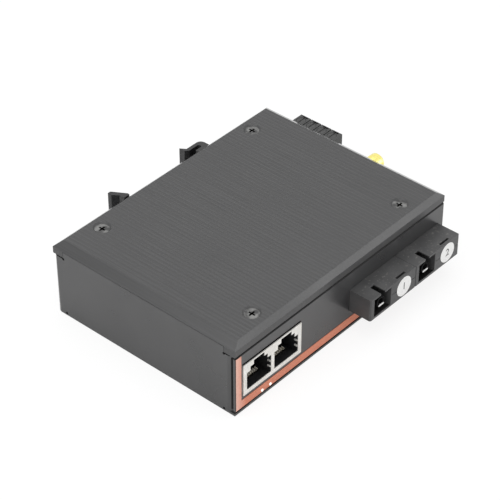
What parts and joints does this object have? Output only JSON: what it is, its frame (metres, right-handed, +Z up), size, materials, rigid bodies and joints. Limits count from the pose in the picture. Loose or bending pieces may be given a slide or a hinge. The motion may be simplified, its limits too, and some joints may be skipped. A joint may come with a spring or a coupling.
{
  "type": "fibre media converter",
  "caption": "Flat DIN-rail network media converter with a ribbed cover, copper and fibre ports, a pluggable screw terminal, an earth post and a sprung rail clip.",
  "frame": {"origin": "centre of the case's flat underside, where the pictured object lies on the ground", "axes": "+X along the front panel towards the terminal plug, +Y from the front panel to the rail clip, +Z up through the ribbed cover"},
  "size_m": [0.1262, 0.107, 0.031],
  "materials": {
    "cover_finish": "satin",
    "case_finish": "satin",
    "panel_finish": "satin",
    "stripe_film": "matte",
    "screw_steel": "satin",
    "zinc_steel": "satin",
    "board_laminate": "satin",
    "chip_resin": "matte",
    "jack_plating": "satin",
    "jack_resin": "matte",
    "contact_gold": "satin",
    "module_resin": "satin",
    "sleeve_resin": "satin",
    "sticker_paper": "matte",
    "lamp_resin": "gloss",
    "terminal_resin": "satin",
    "earth_brass": "polished",
    "clip_nylon": "satin"
  },
  "bodies": {
    "case": {"base_tray": "case_finish", "front_panel": "panel_finish", "rear_panel": "panel_finish", "top_cover": "cover_finish", "cover_screws": "screw_steel", "cover_nuts": "zinc_steel", "circuit_board": "board_laminate", "board_standoffs": "zinc_steel", "board_screws": "zinc_steel", "line_transformers": "chip_resin", "switch_chip": "chip_resin", "clock_crystal": "zinc_steel", "power_inductor": "chip_resin", "supply_capacitors": "zinc_steel", "jack_shield": "jack_plating", "jack_housing": "jack_resin", "jack_contacts_1": "contact_gold", "jack_contacts_2": "contact_gold", "fibre_shell_1": "module_resin", "fibre_shell_2": "module_resin", "fibre_sleeve_1": "sleeve_resin", "fibre_sleeve_2": "sleeve_resin", "port_sticker_1": "sticker_paper", "port_sticker_2": "sticker_paper", "fibre_pins": "zinc_steel", "front_label": "stripe_film", "indicator_lamps": "lamp_resin", "terminal_header": "terminal_resin", "header_pins": "zinc_steel", "earth_stud": "earth_brass", "earth_nut": "earth_brass", "earth_thumb_nut": "earth_brass", "din_clip_body": "clip_nylon", "clip_screws": "zinc_steel", "clip_nuts": "zinc_steel", "latch_spring": "zinc_steel"},
    "plug": {"terminal_plug": "terminal_resin", "plug_strips": "contact_gold"},
    "screw_1": {"terminal_screw_1": "screw_steel"},
    "clamp_1": {"terminal_clamp_1": "zinc_steel"},
    "screw_2": {"terminal_screw_2": "screw_steel"},
    "clamp_2": {"terminal_clamp_2": "zinc_steel"},
    "screw_3": {"terminal_screw_3": "screw_steel"},
    "clamp_3": {"terminal_clamp_3": "zinc_steel"},
    "screw_4": {"terminal_screw_4": "screw_steel"},
    "clamp_4": {"terminal_clamp_4": "zinc_steel"},
    "latch": {"din_latch": "clip_nylon"}
  },
  "joints": [
    {"name": "latch_slide", "type": "slide", "parent": "case", "child": "latch", "axis": [-1, 0, 0], "range_m": [0, 0.0045], "stiffness_N_per_m": 900, "springref_m": -0.003, "deforming": ["latch_spring"]},
    {"name": "plug_pull", "type": "slide", "parent": "case", "child": "plug", "axis": [1, 0, 0], "range_m": [0, 0.012]},
    {"name": "terminal_screw_1_turn", "type": "hinge", "parent": "plug", "child": "screw_1", "pos_m": [0.066, 0.01738, 0.018], "axis": [0, 0, -1], "range_deg": [0, 1200]},
    {"name": "terminal_clamp_1_lift", "type": "slide", "parent": "plug", "child": "clamp_1", "axis": [0, 0, 1], "range_m": [0, 0.0015]},
    {"name": "terminal_screw_2_turn", "type": "hinge", "parent": "plug", "child": "screw_2", "pos_m": [0.066, 0.02246, 0.018], "axis": [0, 0, -1], "range_deg": [0, 1200]},
    {"name": "terminal_clamp_2_lift", "type": "slide", "parent": "plug", "child": "clamp_2", "axis": [0, 0, 1], "range_m": [0, 0.0015]},
    {"name": "terminal_screw_3_turn", "type": "hinge", "parent": "plug", "child": "screw_3", "pos_m": [0.066, 0.02754, 0.018], "axis": [0, 0, -1], "range_deg": [0, 1200]},
    {"name": "terminal_clamp_3_lift", "type": "slide", "parent": "plug", "child": "clamp_3", "axis": [0, 0, 1], "range_m": [0, 0.0015]},
    {"name": "terminal_screw_4_turn", "type": "hinge", "parent": "plug", "child": "screw_4", "pos_m": [0.066, 0.03262, 0.018], "axis": [0, 0, -1], "range_deg": [0, 1200]},
    {"name": "terminal_clamp_4_lift", "type": "slide", "parent": "plug", "child": "clamp_4", "axis": [0, 0, 1], "range_m": [0, 0.0015]}
  ],
  "couplings": [
    {"joint": "terminal_screw_1_turn", "follows": "terminal_clamp_1_lift", "rad_per_m": 13963},
    {"joint": "terminal_screw_2_turn", "follows": "terminal_clamp_2_lift", "rad_per_m": 13963},
    {"joint": "terminal_screw_3_turn", "follows": "terminal_clamp_3_lift", "rad_per_m": 13963},
    {"joint": "terminal_screw_4_turn", "follows": "terminal_clamp_4_lift", "rad_per_m": 13963}
  ]
}
